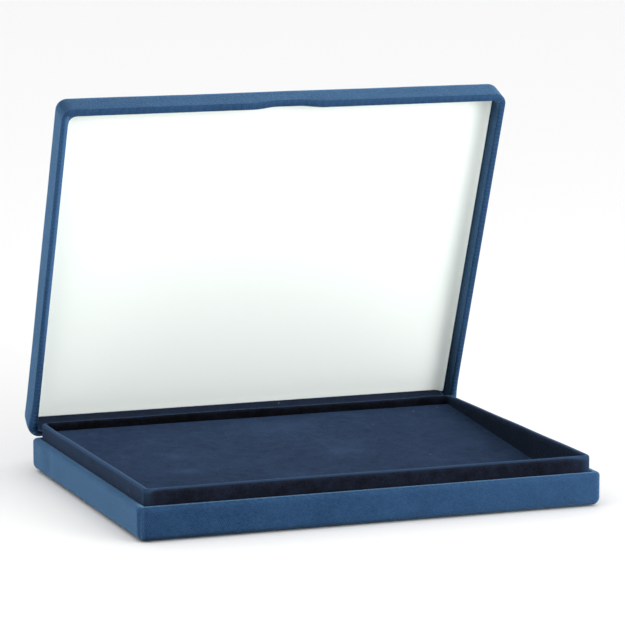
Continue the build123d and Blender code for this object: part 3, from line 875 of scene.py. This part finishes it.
def graded(half, step):
    """Places from -half to half, close together near each end and about a step apart between."""
    near = np.array([0, 0.3, 0.6, 0.75, 1.1, 1.6, 2.3, 3.1, 4.1, 5.5, 7.4])
    count = int(2 * (half - near[-1]) / step)
    middle = np.linspace(near[-1] - half, half - near[-1], count + 1)
    return np.concatenate((near[:-1] - half, middle, half - near[-2::-1]))


def rounded_grid(half_x, half_y, corner):
    """A grid over a rounded rectangle, and each point's distance from its edge.

    Points in a corner's square are drawn in towards the corner's centre, so that squares
    about that centre become quarter circles.
    """
    x, y = np.meshgrid(graded(half_x, 3.2), graded(half_y, 3.2), indexing="ij")
    over_x, over_y = np.abs(x) - (half_x - corner), np.abs(y) - (half_y - corner)
    in_corner = (over_x > 0) & (over_y > 0)
    box = np.maximum(over_x, over_y)
    shrink = np.where(in_corner, box / np.maximum(np.hypot(over_x, over_y), 1e-9), 1.0)
    x = np.where(in_corner, np.sign(x) * (half_x - corner + over_x * shrink), x)
    y = np.where(in_corner, np.sign(y) * (half_y - corner + over_y * shrink), y)
    return x, y, corner - box


def pillow_points():
    """Top and bottom grids of the lining, face up. The top is flat over the foam and rolls up
    the lid's two end walls in a hollow quarter circle: foot + radius - sqrt(radius^2 - run^2),
    where run is how far a point is past the hollow's foot."""
    x, y, inset = rounded_grid(lining_half_x, lining_half_y, lining_corner)
    run = roll_edge + roll_radius - (lining_half_x - np.abs(x))
    run_in = np.clip(run, 0, roll_radius)
    roll = roll_radius - np.sqrt(roll_radius ** 2 - run_in ** 2) + roll_foot * np.clip(run, 0, 1)
    rim = 0.35 * (1 - np.clip(inset / 0.3, 0, 1))
    top = np.stack((x, y, lining_rise + roll - rim), axis=-1)
    return top, top * np.array([1, 1, 0]), inset


def pillow_mesh(name):
    """A closed pillow: the top grid, the bottom grid turned over, and a strip round the rim.
    Also the numbers of the points that are held still: the bottom and the edge."""
    top, bottom, inset = pillow_points()
    across, along = top.shape[:2]
    index = np.arange(across * along).reshape(across, along)
    quad = np.stack((index[:-1, :-1], index[1:, :-1], index[1:, 1:], index[:-1, 1:]), axis=-1)
    under = quad[..., ::-1] + across * along
    rim = np.concatenate((index[:, 0], index[-1, 1:], index[-2::-1, -1], index[0, -2:0:-1]))
    following = np.roll(rim, -1)
    strip = np.column_stack((rim + across * along, following + across * along, following, rim))
    faces = np.concatenate((quad.reshape(-1, 4), under.reshape(-1, 4), strip))
    points = np.concatenate((top.reshape(-1, 3), bottom.reshape(-1, 3))) * MM
    mesh = bpy.data.meshes.new(name)
    mesh.from_pydata(points.tolist(), [], faces.tolist())
    mesh.polygons.foreach_set("use_smooth", np.ones(len(mesh.polygons), bool))
    piece = bpy.data.objects.new(name, mesh)
    bpy.context.scene.collection.objects.link(piece)
    edge = np.flatnonzero(inset.ravel() < roll_edge + roll_radius + 0.5)
    return piece, np.concatenate((edge, np.arange(across * along, 2 * across * along)))


def inflate(piece, held, pressure, last_frame=20):
    """Blow the free cloth of a closed pillow up against its stiffness, and return its points."""
    group = piece.vertex_groups.new(name="held")
    group.add([int(i) for i in held], 1.0, "REPLACE")
    cloth = piece.modifiers.new("Cloth", "CLOTH").settings
    cloth.use_pressure = True
    cloth.uniform_pressure_force = pressure
    cloth.vertex_group_mass = "held"
    cloth.tension_stiffness = 12
    cloth.compression_stiffness = 12
    cloth.bending_stiffness = 0.4
    cloth.quality = 5
    cloth.effector_weights.gravity = 0
    scene = bpy.context.scene
    for number in range(1, last_frame + 1):
        scene.frame_set(number)
    puffed = piece.evaluated_get(bpy.context.evaluated_depsgraph_get())
    flat = np.empty(len(puffed.data.vertices) * 3)
    puffed.data.vertices.foreach_get("co", flat)
    piece.modifiers.clear()
    scene.frame_set(1)
    return flat.reshape(-1, 3)


lining, lining_held = pillow_mesh("satin_lining")
lining_points = np.empty(len(lining.data.vertices) * 3)
lining.data.vertices.foreach_get("co", lining_points)
lining_points = lining_points.reshape(-1, 3)
moved = inflate(lining, lining_held, lining_pressure) - lining_points
reach = np.linalg.norm(moved, axis=1, keepdims=True)
cap = lining_cap * MM
lining_points = lining_points + moved * (cap * np.tanh(reach / cap) / np.maximum(reach, 1e-9))
face_down = lining_points / MM * np.array([1, -1, -1]) + np.array([0, 0, lining_board_z])
lining.data.vertices.foreach_set("co", (turned(face_down, -open_angle) * MM).ravel())
lining.data.update()
smooth = lining.modifiers.new("Subdivision", "SUBSURF")
smooth.levels = smooth.render_levels = 1


def satin(name):
    """Smooth satin: fine even threads, faint slubs, and a soft sheen; almost white."""
    material, wire = start_material(name)
    place = object_place(wire)
    x = wire.make("ShaderNodeSeparateXYZ", {}, {0: place}, out="X")
    z = wire.make("ShaderNodeSeparateXYZ", {}, {0: place}, out="Z")
    threads = x.wave(0.7) * 0.4 + z.wave(0.5) * 0.6
    cloudy = place.noise(90, 2.0)
    fine = place.noise(3.0, 2.0)
    tone = (cloudy - 0.5) * 0.5 + (fine - 0.5) * 0.15 + (threads - 0.5) * 0.2 + 0.5
    bump = wire.make("ShaderNodeBump", {}, {
        "Strength": 0.12, "Distance": 0.0002, "Height": threads * 0.7 + fine * 0.3,
    })
    return finish_material(material, wire, {
        "Base Color": tone.mix((0.868, 0.928, 0.882, 1), (0.888, 0.942, 0.900, 1)),
        "Roughness": 0.5,
        "Sheen Weight": 0.1,
        "Sheen Roughness": 0.3,
        "Normal": bump,
    })


dress(
    lining, satin("white_satin"), "lid", "white_satin",
    "lid_lining", "lid_lining_roll_left", "lid_lining_roll_right", "lid_pad_foam",
)


# ---- underside, boards, foam and moulded cores ----
# Pieces made exactly as the CAD has them: only their finishes are set here.
def flat_finish(name, deep, light, grain, roughness, bump_strength, **shader):
    """A plain mottled finish: colour = deep to light by coarse and fine grain."""
    material, wire = start_material(name)
    place = object_place(wire)
    coarse, fine = place.noise(grain * 8, 3.0), place.noise(grain, 3.0)
    tone = (coarse - 0.5) * 0.8 + (fine - 0.5) * 0.9 + 0.5
    bump = wire.make("ShaderNodeBump", {}, {
        "Strength": bump_strength, "Distance": 0.0003, "Height": fine,
    })
    return finish_material(material, wire, {
        "Base Color": tone.mix((*deep, 1), (*light, 1)),
        "Roughness": (fine - 0.5) * 0.2 + roughness,
        "Normal": bump,
        **shader,
    })


finishes = {
    "underside_cloth": flat_finish(
        "underside_cloth", (0.012, 0.020, 0.040), (0.026, 0.042, 0.080), 0.8, 0.9, 0.5),
    "greyboard": flat_finish(
        "greyboard", (0.26, 0.24, 0.21), (0.42, 0.40, 0.36), 1.2, 0.85, 0.3),
    "foam": flat_finish("foam", (0.55, 0.54, 0.48), (0.78, 0.77, 0.72), 1.0, 0.95, 0.6),
    "moulded_core": flat_finish(
        "moulded_core", (0.020, 0.020, 0.024), (0.040, 0.040, 0.046), 1.5, 0.55, 0.2),
    "hinge_steel": flat_finish(
        "hinge_steel", (0.50, 0.50, 0.51), (0.66, 0.66, 0.67), 0.6, 0.32, 0.15, Metallic=1.0),
    "spring_steel": flat_finish(
        "spring_steel", (0.16, 0.17, 0.20), (0.26, 0.27, 0.31), 0.6, 0.35, 0.15, Metallic=1.0),
    "rivet_brass": flat_finish(
        "rivet_brass", (0.50, 0.36, 0.14), (0.66, 0.50, 0.22), 0.6, 0.35, 0.15, Metallic=1.0),
}
for subpart in frame["record"]["subparts"]:
    finish = finishes.get(subpart["material_slot"])
    node = frame["nodes"][subpart["node"]]
    if finish:
        node.data.materials.clear()
        node.data.materials.append(finish)
